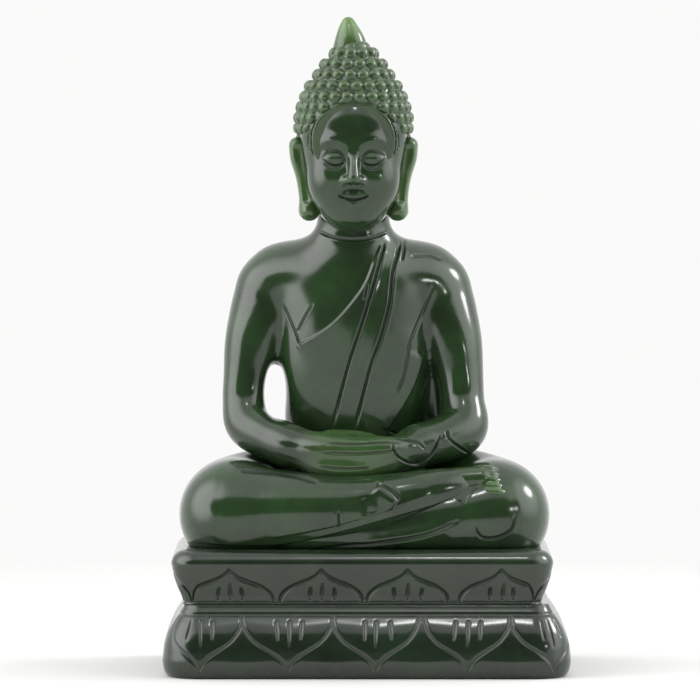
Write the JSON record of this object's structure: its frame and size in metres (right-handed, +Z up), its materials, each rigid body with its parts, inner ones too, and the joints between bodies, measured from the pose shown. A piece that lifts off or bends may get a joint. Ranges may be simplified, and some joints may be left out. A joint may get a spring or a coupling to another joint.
{
  "type": "jade figurine",
  "caption": "Polished dark-green nephrite carving of a robed, cross-legged figure in meditation on a two-tier lotus pedestal.",
  "frame": {"origin": "middle of the pedestal's flat underside, at the middle of the whole object's width and depth", "axes": "+Z up through the figure, -Y the front that the figure faces, +X to the figure's own left"},
  "size_m": [0.093, 0.058, 0.15],
  "materials": {
    "jade_pedestal": "polished nephrite, the darkest and most mottled of the block",
    "jade_figure": "polished dark spinach-green nephrite",
    "jade_thin": "polished nephrite where thin stone lets light through, lighter and yellower",
    "jade_curls": "nephrite drilled and ground into small round curls, less glossy in the hollows"
  },
  "bodies": {
    "root": {"ground_foot": "jade_pedestal", "lower_lotus_tier": "jade_pedestal", "upper_lotus_tier": "jade_pedestal", "left_leg": "jade_figure", "right_leg": "jade_figure", "right_foot": "jade_thin", "lap_drapery": "jade_figure", "torso": "jade_figure", "robe_sash": "jade_figure", "right_arm": "jade_figure", "left_arm": "jade_figure", "right_hand": "jade_thin", "left_hand": "jade_thin", "neck": "jade_figure", "head": "jade_figure", "right_ear": "jade_thin", "left_ear": "jade_thin", "hair_cap": "jade_curls", "topknot": "jade_curls", "finial": "jade_thin"}
  },
  "joints": []
}
